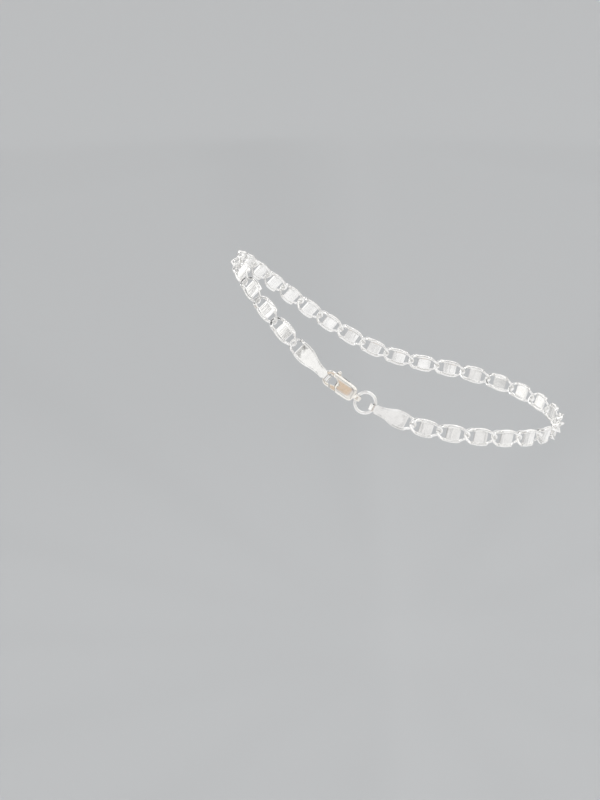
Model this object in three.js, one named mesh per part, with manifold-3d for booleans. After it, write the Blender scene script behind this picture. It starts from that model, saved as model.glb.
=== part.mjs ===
// A silver anklet: flat anchor links closed by two folded end tabs, a jump ring and a lobster clasp.
// Millimetres, +Z up. The origin is the middle of the ankle that the loop goes round. The toes are on
// the -X side, the heel on the +X side, and the clasp is on the -Y side.

import * as THREE from 'three';
import { mergeVertices } from 'three/addons/utils/BufferGeometryUtils.js';
import Module from 'manifold-3d';

const wasm = await Module();
wasm.setup();

// The loop: how far the chain lies from the ankle's middle and how high, from the heel to the instep.
// Both sides of the foot are alike.
const ANKLE_ROWS = [
  { place: 'heel', reach: 41.8, rise: -15.8 },
  { place: 'behind the ankle bone', reach: 34.5, rise: -12 },
  { place: 'ankle bone', reach: 28.4, rise: -6.4 },
  { place: 'in front of the ankle bone', reach: 37.2, rise: 11.4 },
  { place: 'instep', reach: 41.8, rise: 28.5 },
];
const LEG_TILT = THREE.MathUtils.degToRad(28);
const CHAIN_LEAN = THREE.MathUtils.degToRad(7);
const HOOK_TAB_BEARING = THREE.MathUtils.degToRad(140.7);

// Anchor links
const LINK_COUNT = 30;
const LINK_PITCH = 7.25;
const LINK_WIDTH = 4.5;
const LINK_PLAY = 0.22;
const LINK_SIDES = 16;
const RIM_WIDTH = 0.68;
const RIM_HEIGHT = 0.94;
const RIM_TIP_HEIGHT = 0.54;
const RIM_SIDES = 6;
const PLATE_LENGTH = 3.4;
const PLATE_THICKNESS = 0.55;
const END_TWIST = THREE.MathUtils.degToRad(32);
const LINK_LENGTH = LINK_PITCH + 2 * RIM_WIDTH + LINK_PLAY;
const TWIST_START = PLATE_LENGTH / 2;
const TWIST_FULL = 3.1;

// End tabs
const TAB_PITCH = 11;
const TAB_SHEET = 0.4;
const TAB_NECK_WIDTH = 2.3;
const TAB_NECK_LENGTH = 0.3;
// Shares of the taper's length that set how full the tab's shoulder is and how long its waist
const TAB_SHOULDER = 0.45;
const TAB_WAIST = 0.4;
const TAB_FOLD_WIDTH = 1.55;
const TAB_RETURN = 2.6;
const TAB_RIM_WIDTH = 0.56;
const TAB_TIP_SHARE = 0.8;
const FOLD_STEPS = 8;
const FOLD_PLAY = 0.18;
const HOOK_SLACK = 0.24;
const RING_SLACK = 0.14;

// Jump ring
const RING_WIRE = 0.78;
const RING_OUTER = 5.9;
const RING_SIDES = 20;
const RING_PITCH = RING_OUTER - RING_WIRE;

// Lobster clasp, from the middle of the hook's end to the middle of the tail's bail
const CLASP_PITCH = 9.2;
const CLASP_SAG = 0.35;
const BODY_THICKNESS = 2.3;
const HOOK_THICKNESS = 1.2;
const HOOK_REACH = 0.6;
const CLASP_BEVEL = 0.22;
const BACK_EDGE = 2;
const BELLY_EDGE = -2;
const WINDOW_TOP = 0.9;
const WINDOW_FLOOR = -1.13;
const HOOK_TIP = 2.35;
const MOUTH_END = 4.1;
const CHEEK_START = 1.5;
const TAIL_CURVE = 6.8;
const TAIL_END = 8.5;
const TAIL_HALF_WIDTH = 0.8;
const SLOT_WIDTH = 1.18;
const LEVER_THICKNESS = 0.8;
const NUB_RADIUS = 0.52;
const NUB = new THREE.Vector2(2.48, 2.36);
const PIVOT = new THREE.Vector2(4.7, -0.6);
const HUB_RADIUS = 0.7;
const GATE_PLAY = 0.17;
const PIN_RADIUS = 0.3;
const PIN_PLAY = 0.13;
const PIN_SIDES = 10;
const FRONT_SKIN = 0.28;
const BAIL_WIDTH = 1.3;
const BAIL_WALL = 0.42;
const BAIL_PLAY = 0.33;
const PIN_RECESS = 0.1;

// Closed solids and their joins and cuts

function toManifold(geometry) {
  const bare = geometry.index ? geometry.toNonIndexed() : geometry.clone();
  bare.deleteAttribute('normal');
  bare.deleteAttribute('uv');
  const merged = mergeVertices(bare, 1e-4);
  return new wasm.Manifold(new wasm.Mesh({
    numProp: 3,
    vertProperties: new Float32Array(merged.attributes.position.array),
    triVerts: new Uint32Array(merged.index.array),
  }));
}

function toGeometry(solid) {
  const mesh = solid.getMesh();
  const geometry = new THREE.BufferGeometry();
  geometry.setAttribute('position', new THREE.BufferAttribute(new Float32Array(mesh.vertProperties), 3));
  geometry.setIndex(new THREE.BufferAttribute(new Uint32Array(mesh.triVerts), 1));
  geometry.computeVertexNormals();
  return geometry;
}

// A flat outline given a thickness, half of it on each side of z = 0
function slab(shape, thickness, { bevel = 0, curveSegments = 5 } = {}) {
  const depth = thickness - 2 * bevel;
  const geometry = new THREE.ExtrudeGeometry(shape, {
    depth,
    curveSegments,
    bevelEnabled: bevel > 0,
    bevelSize: bevel,
    bevelThickness: bevel,
    bevelOffset: -bevel,
    bevelSegments: 1,
    steps: 1,
  });
  geometry.translate(0, 0, -depth / 2);
  return geometry;
}

// A side profile in x and z given a width, half of it on each side of y = 0
function strip(profile, width) {
  const geometry = slab(profile, width);
  geometry.rotateX(Math.PI / 2);
  return geometry;
}

// How far a link's end is turned: none over the plate, all of it where two links cross
function twistShare(fromMiddle) {
  return THREE.MathUtils.smoothstep(fromMiddle, TWIST_START, TWIST_FULL);
}

// Half the width of a link's oval outline, in from its edge by inset
function ovalHalfWidth(fromMiddle, inset) {
  const share = fromMiddle / (LINK_LENGTH / 2 - inset);
  return (LINK_WIDTH / 2 - inset) * Math.sqrt(Math.max(0, 1 - share * share));
}

// The anchor link: an oval rim of flattened wire with a plate across it. Its two ends are turned
// against each other, so that of two links each passes over the other at one crossing.

function linkRim() {
  const tube = 0.25;
  const rim = new THREE.TorusGeometry(1, tube, RIM_SIDES, LINK_SIDES);
  const position = rim.attributes.position;
  const halfLength = LINK_LENGTH / 2 - RIM_WIDTH / 2;
  const halfWidth = LINK_WIDTH / 2 - RIM_WIDTH / 2;
  for (let i = 0; i < position.count; i += 1) {
    const around = Math.atan2(position.getY(i), position.getX(i));
    const out = (Math.hypot(position.getX(i), position.getY(i)) - 1) / tube;
    const up = position.getZ(i) / tube;
    const normal = new THREE.Vector2(Math.cos(around) / halfLength, Math.sin(around) / halfWidth).normalize();
    const x = halfLength * Math.cos(around) + normal.x * out * RIM_WIDTH / 2;
    const y = halfWidth * Math.sin(around) + normal.y * out * RIM_WIDTH / 2;
    const turned = twistShare(Math.abs(x));
    const height = THREE.MathUtils.lerp(RIM_HEIGHT, RIM_TIP_HEIGHT, turned);
    const z = up * height / 2 + Math.sign(x) * y * Math.tan(END_TWIST) * turned;
    position.setXYZ(i, x, y, z);
  }
  return rim;
}

function linkPlate() {
  const shape = new THREE.Shape();
  const steps = 4;
  const edge = [];
  for (let i = 0; i <= steps; i += 1) {
    const x = PLATE_LENGTH * (i / steps - 0.5);
    edge.push(new THREE.Vector2(x, ovalHalfWidth(Math.abs(x), RIM_WIDTH * 0.6)));
  }
  shape.setFromPoints([...edge, ...edge.map((point) => new THREE.Vector2(point.x, -point.y)).reverse()]);
  return slab(shape, PLATE_THICKNESS);
}

function anchorLink() {
  return toGeometry(toManifold(linkRim()).add(toManifold(linkPlate())));
}

// The end tab: a teardrop of sheet. Its wide end is a link's end with a window, and its narrow end
// is folded back on itself round a wire. x runs from the middle of the crossing to the fold.

// An outline from its tip along the lower edge and back along the upper one
function mirroredOutline(tip, upperEdge) {
  const lowerEdge = upperEdge.map((point) => new THREE.Vector2(point.x, -point.y));
  return [tip, ...lowerEdge, ...upperEdge.toReversed()];
}

function tabSheet(foldAt) {
  const middle = LINK_PITCH / 2;
  const tip = middle - LINK_LENGTH / 2;
  const windowEnd = middle - PLATE_LENGTH / 2;
  const tipSteps = 7;
  const edge = [];
  for (let i = 1; i <= tipSteps; i += 1) {
    const x = middle - (LINK_LENGTH / 2) * Math.cos((i / tipSteps) * Math.PI / 2);
    edge.push(new THREE.Vector2(x, ovalHalfWidth(middle - x, 0)));
  }
  const neckStart = foldAt - TAB_NECK_LENGTH;
  const taperLength = neckStart - middle;
  const taper = new THREE.CubicBezierCurve(
    new THREE.Vector2(middle, LINK_WIDTH / 2),
    new THREE.Vector2(middle + taperLength * TAB_SHOULDER, LINK_WIDTH / 2),
    new THREE.Vector2(middle + taperLength * TAB_WAIST, TAB_NECK_WIDTH / 2),
    new THREE.Vector2(neckStart, TAB_NECK_WIDTH / 2),
  );
  edge.push(...taper.getPoints(6).slice(1));
  edge.push(new THREE.Vector2(foldAt, TAB_FOLD_WIDTH / 2));
  const shape = new THREE.Shape(mirroredOutline(new THREE.Vector2(tip, 0), edge));

  const windowEdge = [];
  const windowSteps = 5;
  const inner = LINK_LENGTH / 2 - TAB_RIM_WIDTH;
  const endAngle = Math.acos((middle - windowEnd) / inner);
  for (let i = 1; i <= windowSteps; i += 1) {
    const x = middle - inner * Math.cos((i / windowSteps) * endAngle);
    windowEdge.push(new THREE.Vector2(x, ovalHalfWidth(middle - x, TAB_RIM_WIDTH)));
  }
  shape.holes.push(new THREE.Path(mirroredOutline(new THREE.Vector2(middle - inner, 0), windowEdge)));

  const sheet = slab(shape, TAB_SHEET);
  const position = sheet.attributes.position;
  for (let i = 0; i < position.count; i += 1) {
    const turned = twistShare(middle - position.getX(i));
    const thinned = position.getZ(i) * THREE.MathUtils.lerp(1, TAB_TIP_SHARE, turned);
    position.setZ(i, thinned - position.getY(i) * Math.tan(END_TWIST) * turned);
  }
  return sheet;
}

// The fold's side profile: over the wire's front, round its far side and back behind it
function tabFold(foldAt, foldRadius, foldReach) {
  const outer = foldRadius + TAB_SHEET;
  const centre = new THREE.Vector2(foldAt + foldReach, -foldDepth(foldRadius));
  const returnEnd = foldAt - TAB_RETURN;
  const root = foldAt - TAB_NECK_LENGTH;
  const arc = (radius) => Array.from({ length: FOLD_STEPS + 1 }, (_, i) => {
    const angle = Math.PI / 2 - Math.PI * (i / FOLD_STEPS);
    return new THREE.Vector2(centre.x + radius * Math.cos(angle), centre.y + radius * Math.sin(angle));
  });
  const profile = new THREE.Shape([
    new THREE.Vector2(root, TAB_SHEET / 2),
    ...arc(outer),
    new THREE.Vector2(returnEnd, centre.y - outer),
    new THREE.Vector2(returnEnd, centre.y - foldRadius),
    ...arc(foldRadius).reverse(),
    new THREE.Vector2(root, -TAB_SHEET / 2),
  ]);
  return strip(profile, TAB_FOLD_WIDTH);
}

// The wire in the fold lies behind the sheet, one pitch from the crossing with the link
function foldDepth(foldRadius) {
  return foldRadius + TAB_SHEET / 2;
}

function endTab(foldRadius, foldReach) {
  const foldAt = Math.sqrt(TAB_PITCH ** 2 - foldDepth(foldRadius) ** 2);
  const sheet = toManifold(tabSheet(foldAt));
  return toGeometry(sheet.add(toManifold(tabFold(foldAt, foldRadius, foldReach))));
}

// The jump ring, a plain ring of round wire that lies flat
function jumpRing() {
  const ring = new THREE.TorusGeometry(RING_PITCH / 2, RING_WIRE / 2, RIM_SIDES, RING_SIDES);
  return toGeometry(toManifold(ring));
}

// The body's edge along the back, round the blunt tail and along the belly to the mouth
function addBodyEdge(shape) {
  const corner = (TAIL_CURVE + TAIL_END) / 2 + 0.4;
  shape.lineTo(TAIL_CURVE, BACK_EDGE);
  shape.bezierCurveTo(corner, BACK_EDGE, TAIL_END, BACK_EDGE * 0.8, TAIL_END, TAIL_HALF_WIDTH);
  shape.lineTo(TAIL_END, -TAIL_HALF_WIDTH);
  shape.bezierCurveTo(TAIL_END, BELLY_EDGE * 0.8, corner, BELLY_EDGE, TAIL_CURVE, BELLY_EDGE);
  shape.lineTo(MOUTH_END, BELLY_EDGE);
}

// The body's front edge, round the far side of the window
function addWindowEdge(shape) {
  shape.lineTo(MOUTH_END - 0.35, BELLY_EDGE + 0.45);
  shape.quadraticCurveTo(MOUTH_END - 0.85, WINDOW_TOP - 1.9, MOUTH_END - 0.8, WINDOW_TOP - 1.2);
  shape.quadraticCurveTo(MOUTH_END - 0.9, WINDOW_TOP - 0.2, HOOK_TIP - 0.05, WINDOW_TOP);
}

// The clasp's outline seen from the front: hook, back, tail and the front edge of the body. The
// mouth between the hook's tip and the body is left open for the gate.
function claspOutline() {
  const windowSide = HOOK_REACH + 0.15;
  const hookRoot = CHEEK_START + 0.1;
  const shape = new THREE.Shape();
  shape.moveTo(HOOK_TIP, BELLY_EDGE);
  shape.lineTo(CHEEK_START - 0.2, BELLY_EDGE);
  shape.bezierCurveTo(0.1, BELLY_EDGE + 0.05, -HOOK_REACH, -1, -HOOK_REACH, 0.1);
  shape.bezierCurveTo(-HOOK_REACH, 1.3, 0.3, BACK_EDGE - 0.05, hookRoot, BACK_EDGE);
  addBodyEdge(shape);
  addWindowEdge(shape);
  shape.lineTo(windowSide, WINDOW_TOP + 0.02);
  shape.lineTo(HOOK_REACH, WINDOW_TOP - 0.08);
  shape.lineTo(HOOK_REACH, WINDOW_FLOOR + 0.13);
  shape.lineTo(windowSide, WINDOW_FLOOR);
  shape.lineTo(HOOK_TIP - 0.6, WINDOW_FLOOR - 0.07);
  shape.lineTo(HOOK_TIP, BELLY_EDGE);
  return shape;
}

// The body's two cheeks, thicker than the hook
function claspCheeks() {
  const shape = new THREE.Shape();
  shape.moveTo(CHEEK_START, WINDOW_TOP + 0.02);
  shape.quadraticCurveTo(CHEEK_START - 0.15, (WINDOW_TOP + BACK_EDGE) / 2, CHEEK_START + 0.1, BACK_EDGE);
  addBodyEdge(shape);
  addWindowEdge(shape);
  shape.lineTo(CHEEK_START, WINDOW_TOP + 0.02);
  return shape;
}

// The slot between the cheeks, as wide as the lever's swing needs
function leverSlot() {
  const shape = new THREE.Shape();
  const front = NUB.x - 0.7;
  const above = NUB.y + 1;
  const below = BELLY_EDGE - 0.55;
  const inner = HOOK_TIP + 0.4;
  const back = PIVOT.x + HUB_RADIUS + 0.4;
  shape.moveTo(front, WINDOW_TOP - 0.6);
  shape.lineTo(front, above);
  shape.lineTo(PIVOT.x + 0.5, above);
  shape.lineTo(back, BACK_EDGE - 0.5);
  shape.lineTo(back, PIVOT.y - 0.1);
  shape.lineTo(PIVOT.x + 0.5, PIVOT.y - HUB_RADIUS - 0.12);
  shape.lineTo(PIVOT.x - 0.2, PIVOT.y - HUB_RADIUS - 0.15);
  shape.lineTo(MOUTH_END - 0.15, below);
  shape.lineTo(inner, below);
  shape.lineTo(inner, WINDOW_TOP - 0.6);
  return slab(shape, SLOT_WIDTH);
}

function pinCylinder(radius, back, front) {
  const cylinder = new THREE.CylinderGeometry(radius, radius, front - back, PIN_SIDES);
  cylinder.rotateX(Math.PI / 2);
  cylinder.translate(PIVOT.x, PIVOT.y, (front + back) / 2);
  return cylinder;
}

// The bail at the tail, whose eye runs across the clasp so that the ring lies flat in it
function tailBail() {
  const eye = RING_WIRE / 2 + BAIL_PLAY;
  const profile = new THREE.Shape();
  profile.absarc(CLASP_PITCH, 0, eye + BAIL_WALL, 0, Math.PI * 2);
  const hole = new THREE.Path();
  hole.absarc(CLASP_PITCH, 0, eye, 0, Math.PI * 2);
  profile.holes.push(hole);
  return strip(profile, BAIL_WIDTH);
}

function claspBody() {
  const pinHole = pinCylinder(PIN_RADIUS + PIN_PLAY, -BODY_THICKNESS, BODY_THICKNESS / 2 - FRONT_SKIN);
  const eyeRadius = RING_WIRE / 2 + BAIL_PLAY;
  const eye = new THREE.CylinderGeometry(eyeRadius, eyeRadius, LINK_WIDTH, RING_SIDES);
  eye.translate(CLASP_PITCH, 0, 0);
  const solid = toManifold(slab(claspOutline(), HOOK_THICKNESS, { bevel: CLASP_BEVEL }))
    .add(toManifold(slab(claspCheeks(), BODY_THICKNESS, { bevel: CLASP_BEVEL })))
    .add(toManifold(tailBail()))
    .subtract(toManifold(leverSlot()))
    .subtract(toManifold(pinHole))
    .subtract(toManifold(eye));
  return toGeometry(solid);
}

// The lever: a gate that closes the hook from inside, a hub on the pin and an arm up to the thumb nub
function claspLever() {
  const arm = new THREE.Shape();
  const gateFloor = BELLY_EDGE + 0.05;
  arm.moveTo(HOOK_TIP + GATE_PLAY, gateFloor);
  arm.lineTo(MOUTH_END - 0.25, gateFloor);
  arm.lineTo(MOUTH_END - 0.05, PIVOT.y - HUB_RADIUS + 0.08);
  arm.lineTo(PIVOT.x, PIVOT.y - HUB_RADIUS);
  arm.absarc(PIVOT.x, PIVOT.y, HUB_RADIUS, -Math.PI / 2, 0.15);
  arm.lineTo(PIVOT.x + 0.35, WINDOW_TOP - 0.1);
  arm.lineTo(PIVOT.x - 0.4, BACK_EDGE - 0.35);
  arm.lineTo(NUB.x + 0.35, NUB.y - 0.1);
  arm.lineTo(NUB.x - 0.3, NUB.y - 0.1);
  arm.lineTo(NUB.x - 0.21, BACK_EDGE - 0.35);
  arm.lineTo(PIVOT.x - 0.75, WINDOW_TOP + 0.2);
  arm.lineTo(PIVOT.x - 0.5, WINDOW_TOP - 0.4);
  arm.lineTo(PIVOT.x - 0.75, PIVOT.y - 0.1);
  arm.lineTo(PIVOT.x - 1.1, PIVOT.y - 0.2);
  arm.lineTo(HOOK_TIP - 0.4, WINDOW_FLOOR + 0.03);
  const nub = new THREE.SphereGeometry(NUB_RADIUS, 12, 8);
  nub.rotateX(Math.PI / 2);
  nub.translate(NUB.x, NUB.y, 0);
  const bore = pinCylinder(PIN_RADIUS + PIN_PLAY, -BODY_THICKNESS, BODY_THICKNESS);
  const solid = toManifold(slab(arm, LEVER_THICKNESS)).add(toManifold(nub)).subtract(toManifold(bore));
  return toGeometry(solid);
}

function claspPin() {
  const back = -BODY_THICKNESS / 2 + PIN_RECESS / 2;
  const front = BODY_THICKNESS / 2 - FRONT_SKIN - PIN_RECESS;
  return pinCylinder(PIN_RADIUS, back, front);
}

// The loop's curve: the rows above joined by a cosine series, so that it is smooth all round

function harmonics(key) {
  const last = ANKLE_ROWS.length - 1;
  return ANKLE_ROWS.map((_, order) => {
    const sum = ANKLE_ROWS.reduce((total, row, i) => {
      const weight = i === 0 || i === last ? 0.5 : 1;
      return total + weight * row[key] * Math.cos((Math.PI * i * order) / last);
    }, 0);
    return (sum * (order === 0 || order === last ? 1 : 2)) / last;
  });
}

const REACH_SERIES = harmonics('reach');
const RISE_SERIES = harmonics('rise');

function loopPoint(bearing, size) {
  const sum = (series) => series
    .reduce((total, value, order) => total + value * Math.cos(order * bearing), 0);
  const reach = sum(REACH_SERIES);
  return new THREE.Vector3(reach * Math.cos(bearing), -reach * Math.sin(bearing), sum(RISE_SERIES))
    .multiplyScalar(size);
}

function bisect(low, high, isLow) {
  let [a, b] = [low, high];
  for (let i = 0; i < 50; i += 1) {
    const middle = (a + b) / 2;
    if (isLow(middle)) a = middle;
    else b = middle;
  }
  return (a + b) / 2;
}

// Each piece spans from one pivot on the loop to the next, in this order from the hook's tab
const SPANS = [
  TAB_PITCH, CLASP_PITCH, RING_PITCH, TAB_PITCH, ...Array.from({ length: LINK_COUNT }, () => LINK_PITCH),
];

function walkLoop(size) {
  const pivots = [];
  let bearing = HOOK_TAB_BEARING;
  for (const span of SPANS) {
    const from = loopPoint(bearing, size);
    pivots.push(from);
    const start = bearing;
    bearing -= bisect(0, 0.8, (turn) => loopPoint(start - turn, size).distanceTo(from) < span);
  }
  return { pivots, turned: HOOK_TAB_BEARING - bearing };
}

// The ankle's size at which the chain closes exactly
const LOOP_SIZE = bisect(0.9, 1.1, (size) => walkLoop(size).turned > 2 * Math.PI);
const { pivots: PIVOTS } = walkLoop(LOOP_SIZE);

// A piece's own axes between two pivots: x along the chain, z out from the ankle
const LEG_AXIS = new THREE.Vector3(Math.sin(LEG_TILT), 0, Math.cos(LEG_TILT));

function spanFrame(index) {
  const from = PIVOTS[index];
  const to = PIVOTS[(index + 1) % PIVOTS.length];
  const along = to.clone().sub(from).normalize();
  const level = along.clone().cross(LEG_AXIS).normalize();
  const out = level.applyAxisAngle(along, -CHAIN_LEAN);
  const across = out.clone().cross(along);
  return { from, to, along, across, out };
}

function placed(name, geometry, material, frame, origin, localTurn) {
  const mesh = new THREE.Mesh(geometry, material);
  mesh.name = name;
  const basis = new THREE.Matrix4().makeBasis(frame.along, frame.across, frame.out).setPosition(origin);
  mesh.applyMatrix4(basis.multiply(localTurn ?? new THREE.Matrix4()));
  return mesh;
}

const chainSilver = new THREE.MeshStandardMaterial({ color: 0xdedfdd, roughness: 0.16, metalness: 1 });
const claspSilver = new THREE.MeshStandardMaterial({ color: 0xddd6c8, roughness: 0.14, metalness: 1 });

const anklet = new THREE.Group();
anklet.name = 'anklet';

const [HOOK_TAB, CLASP, RING, RING_TAB, FIRST_LINK] = [0, 1, 2, 3, 4];

// The hook hangs a little low in the tab's loose fold
PIVOTS[CLASP].addScaledVector(spanFrame(CLASP).across, -CLASP_SAG);

// A tab's fold lies behind its sheet, so the sheet leans out by this angle from the line of its pivots
function tabTurn(foldRadius) {
  return new THREE.Matrix4().makeRotationY(-Math.asin(foldDepth(foldRadius) / TAB_PITCH));
}

const hookFold = HOOK_THICKNESS / 2 + FOLD_PLAY;
const hookFoldReach = HOOK_REACH + FOLD_PLAY - hookFold + HOOK_SLACK;
const hookTabFrame = spanFrame(HOOK_TAB);
anklet.add(placed('tab_hook', endTab(hookFold, hookFoldReach), chainSilver, hookTabFrame,
  hookTabFrame.from, tabTurn(hookFold)));

const ringFold = RING_WIRE / 2 + FOLD_PLAY;
const ringBow = RING_PITCH / 2 - Math.sqrt((RING_PITCH / 2) ** 2 - (TAB_FOLD_WIDTH / 2) ** 2);
const ringTabFrame = spanFrame(RING_TAB);
const halfTurn = new THREE.Matrix4().makeRotationZ(Math.PI);
const ringTabTurn = halfTurn.multiply(tabTurn(ringFold));
anklet.add(placed('tab_ring', endTab(ringFold, ringBow + RING_SLACK), chainSilver, ringTabFrame,
  ringTabFrame.to, ringTabTurn));

const ringFrame = spanFrame(RING);
const ringCentre = ringFrame.from.clone().lerp(ringFrame.to, 0.5);
anklet.add(placed('jump_ring', jumpRing(), chainSilver, ringFrame, ringCentre));

const claspFrame = spanFrame(CLASP);
anklet.add(placed('clasp_body', claspBody(), claspSilver, claspFrame, claspFrame.from));
anklet.add(placed('clasp_lever', claspLever(), claspSilver, claspFrame, claspFrame.from));
anklet.add(placed('clasp_pin', claspPin(), claspSilver, claspFrame, claspFrame.from));

const linkGeometry = anchorLink();
for (let i = 0; i < LINK_COUNT; i += 1) {
  const frame = spanFrame(FIRST_LINK + i);
  const middle = frame.from.clone().lerp(frame.to, 0.5);
  const name = `link_${String(i + 1).padStart(2, '0')}`;
  anklet.add(placed(name, linkGeometry, chainSilver, frame, middle));
}

export default anklet;
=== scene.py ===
"""A silver anklet of flat anchor links, closed by folded end tabs, a jump ring and a lobster clasp."""
import math

import bpy
from mathutils import Matrix, Vector
from mathutils.geometry import interpolate_bezier


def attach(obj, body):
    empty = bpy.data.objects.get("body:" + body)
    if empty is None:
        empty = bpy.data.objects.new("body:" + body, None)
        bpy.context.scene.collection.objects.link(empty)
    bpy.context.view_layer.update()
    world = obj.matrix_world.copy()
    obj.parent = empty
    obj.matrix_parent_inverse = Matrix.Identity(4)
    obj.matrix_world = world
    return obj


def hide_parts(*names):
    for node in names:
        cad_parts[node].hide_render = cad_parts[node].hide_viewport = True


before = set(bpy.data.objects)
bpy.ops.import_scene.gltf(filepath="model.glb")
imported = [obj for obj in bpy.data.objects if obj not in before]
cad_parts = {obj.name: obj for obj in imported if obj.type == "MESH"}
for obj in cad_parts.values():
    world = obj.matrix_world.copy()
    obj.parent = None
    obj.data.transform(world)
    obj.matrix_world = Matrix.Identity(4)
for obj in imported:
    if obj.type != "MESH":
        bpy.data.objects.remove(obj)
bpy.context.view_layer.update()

# The thirty anchor links of the chain. Each is an oval rim of flattened silver wire with a plate
# soldered across its middle, and its ends are turned against each other so that it hooks through
# its neighbours. All sizes are in millimetres until a piece is set in its place round the loop.
MM = 0.001
LOOP_REACH = (41.8, 34.5, 28.4, 37.2, 41.8)
LOOP_RISE = (-15.8, -12, -6.4, 11.4, 28.5)
LOOP_TILT = math.radians(28)
CHAIN_LEAN = math.radians(7)
HOOK_TAB_BEARING = math.radians(140.7)
LINK_COUNT = 30
LINK_PITCH = 7.25
LINK_LENGTH = 8.83
LINK_WIDTH = 4.5
RIM_WIDTH = 0.68
RIM_HEIGHT = 0.94
RIM_TIP_HEIGHT = 0.54
PLATE_LENGTH = 3.4
PLATE_THICKNESS = 0.55
PLATE_CROWN = 0.05
END_TWIST = math.radians(32)
TWIST_START = 1.7
TWIST_FULL = 3.1
TAB_PITCH = 11
CLASP_PITCH = 9.2
CLASP_SAG = 0.35
RING_PITCH = 5.12
SPANS = [TAB_PITCH, CLASP_PITCH, RING_PITCH, TAB_PITCH] + [LINK_PITCH] * LINK_COUNT
HOOK_TAB_SPAN, CLASP_SPAN, RING_SPAN, RING_TAB_SPAN, FIRST_LINK_SPAN = range(5)


def harmonics(rows):
    """The cosine series that runs smoothly through the rows, from the loop's low end to its high end."""
    last = len(rows) - 1
    series = []
    for order in range(len(rows)):
        total = 0
        for i, row in enumerate(rows):
            weight = 0.5 if i in (0, last) else 1
            total += weight * row * math.cos(math.pi * i * order / last)
        series.append(total * (1 if order in (0, last) else 2) / last)
    return series


reach_series = harmonics(LOOP_REACH)
rise_series = harmonics(LOOP_RISE)


def loop_point(bearing, size):
    """A point on the loop, at a bearing from its low end."""
    reach = sum(value * math.cos(order * bearing) for order, value in enumerate(reach_series))
    rise = sum(value * math.cos(order * bearing) for order, value in enumerate(rise_series))
    return size * Vector((reach * math.cos(bearing), -reach * math.sin(bearing), rise))


def bisect(low, high, is_low):
    """Halves the range between low and high until the value is found."""
    halvings = 40
    for _ in range(halvings):
        middle = (low + high) / 2
        if is_low(middle):
            low = middle
        else:
            high = middle
    return (low + high) / 2


def walk_loop(size):
    """The pivots between the pieces, and how far round the loop they go."""
    widest_turn = 0.8
    places = []
    bearing = HOOK_TAB_BEARING
    for span in SPANS:
        start = loop_point(bearing, size)
        places.append(start)
        bearing -= bisect(0, widest_turn,
                          lambda turn: (loop_point(bearing - turn, size) - start).length < span)
    return places, HOOK_TAB_BEARING - bearing


SMALLEST_LOOP = 0.9
LARGEST_LOOP = 1.1
loop_size = bisect(SMALLEST_LOOP, LARGEST_LOOP, lambda size: walk_loop(size)[1] > 2 * math.pi)
pivots = walk_loop(loop_size)[0]
loop_axis = Vector((math.sin(LOOP_TILT), 0, math.cos(LOOP_TILT)))


def span_axes(span):
    """A span's two pivots and its axes: x along the chain, y up across it, z outwards."""
    start = pivots[span]
    end = pivots[(span + 1) % len(pivots)]
    along = (end - start).normalized()
    level = along.cross(loop_axis).normalized()
    out = Matrix.Rotation(-CHAIN_LEAN, 3, along) @ level
    across = out.cross(along)
    return start, end, Matrix((along, across, out)).transposed().to_4x4()


# The hook hangs a little low in the tab's loose fold
pivots[CLASP_SPAN] -= CLASP_SAG * span_axes(CLASP_SPAN)[2].col[1].xyz


def select_only(piece):
    bpy.ops.object.select_all(action="DESELECT")
    piece.select_set(True)
    bpy.context.view_layer.objects.active = piece


def smoothstep(value, low, high):
    share = min(max((value - low) / (high - low), 0), 1)
    return share * share * (3 - 2 * share)


def oval_half_width(from_middle, inset):
    share = from_middle / (LINK_LENGTH / 2 - inset)
    return (LINK_WIDTH / 2 - inset) * math.sqrt(max(0, 1 - share * share))


def combine(piece, other, operation):
    """Solders the other solid to the piece, or cuts it away."""
    select_only(piece)
    change = piece.modifiers.new("combine", "BOOLEAN")
    change.operation = operation
    change.object = other
    change.solver = "EXACT"
    bpy.ops.object.modifier_apply(modifier=change.name)
    bpy.data.objects.remove(other)


def finish_edges(piece, width, segments, angle):
    """Rounds the sharp edges and smooths the rest."""
    select_only(piece)
    rounding = piece.modifiers.new("rounded_edges", "BEVEL")
    rounding.width = width
    rounding.segments = segments
    rounding.limit_method = "ANGLE"
    rounding.angle_limit = math.radians(angle)
    bpy.ops.object.modifier_apply(modifier=rounding.name)
    bpy.ops.object.shade_smooth_by_angle(angle=math.radians(angle))


def even_normals(piece):
    """Keeps flat faces flat in the light, with all of the turn in the rounded edges."""
    select_only(piece)
    even = piece.modifiers.new("even_normals", "WEIGHTED_NORMAL")
    even.keep_sharp = True
    bpy.ops.object.modifier_apply(modifier=even.name)


def squared(side, power):
    """Presses a round shape's coordinate towards the side of a box with rounded corners."""
    return math.copysign(abs(side) ** power, side)


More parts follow.
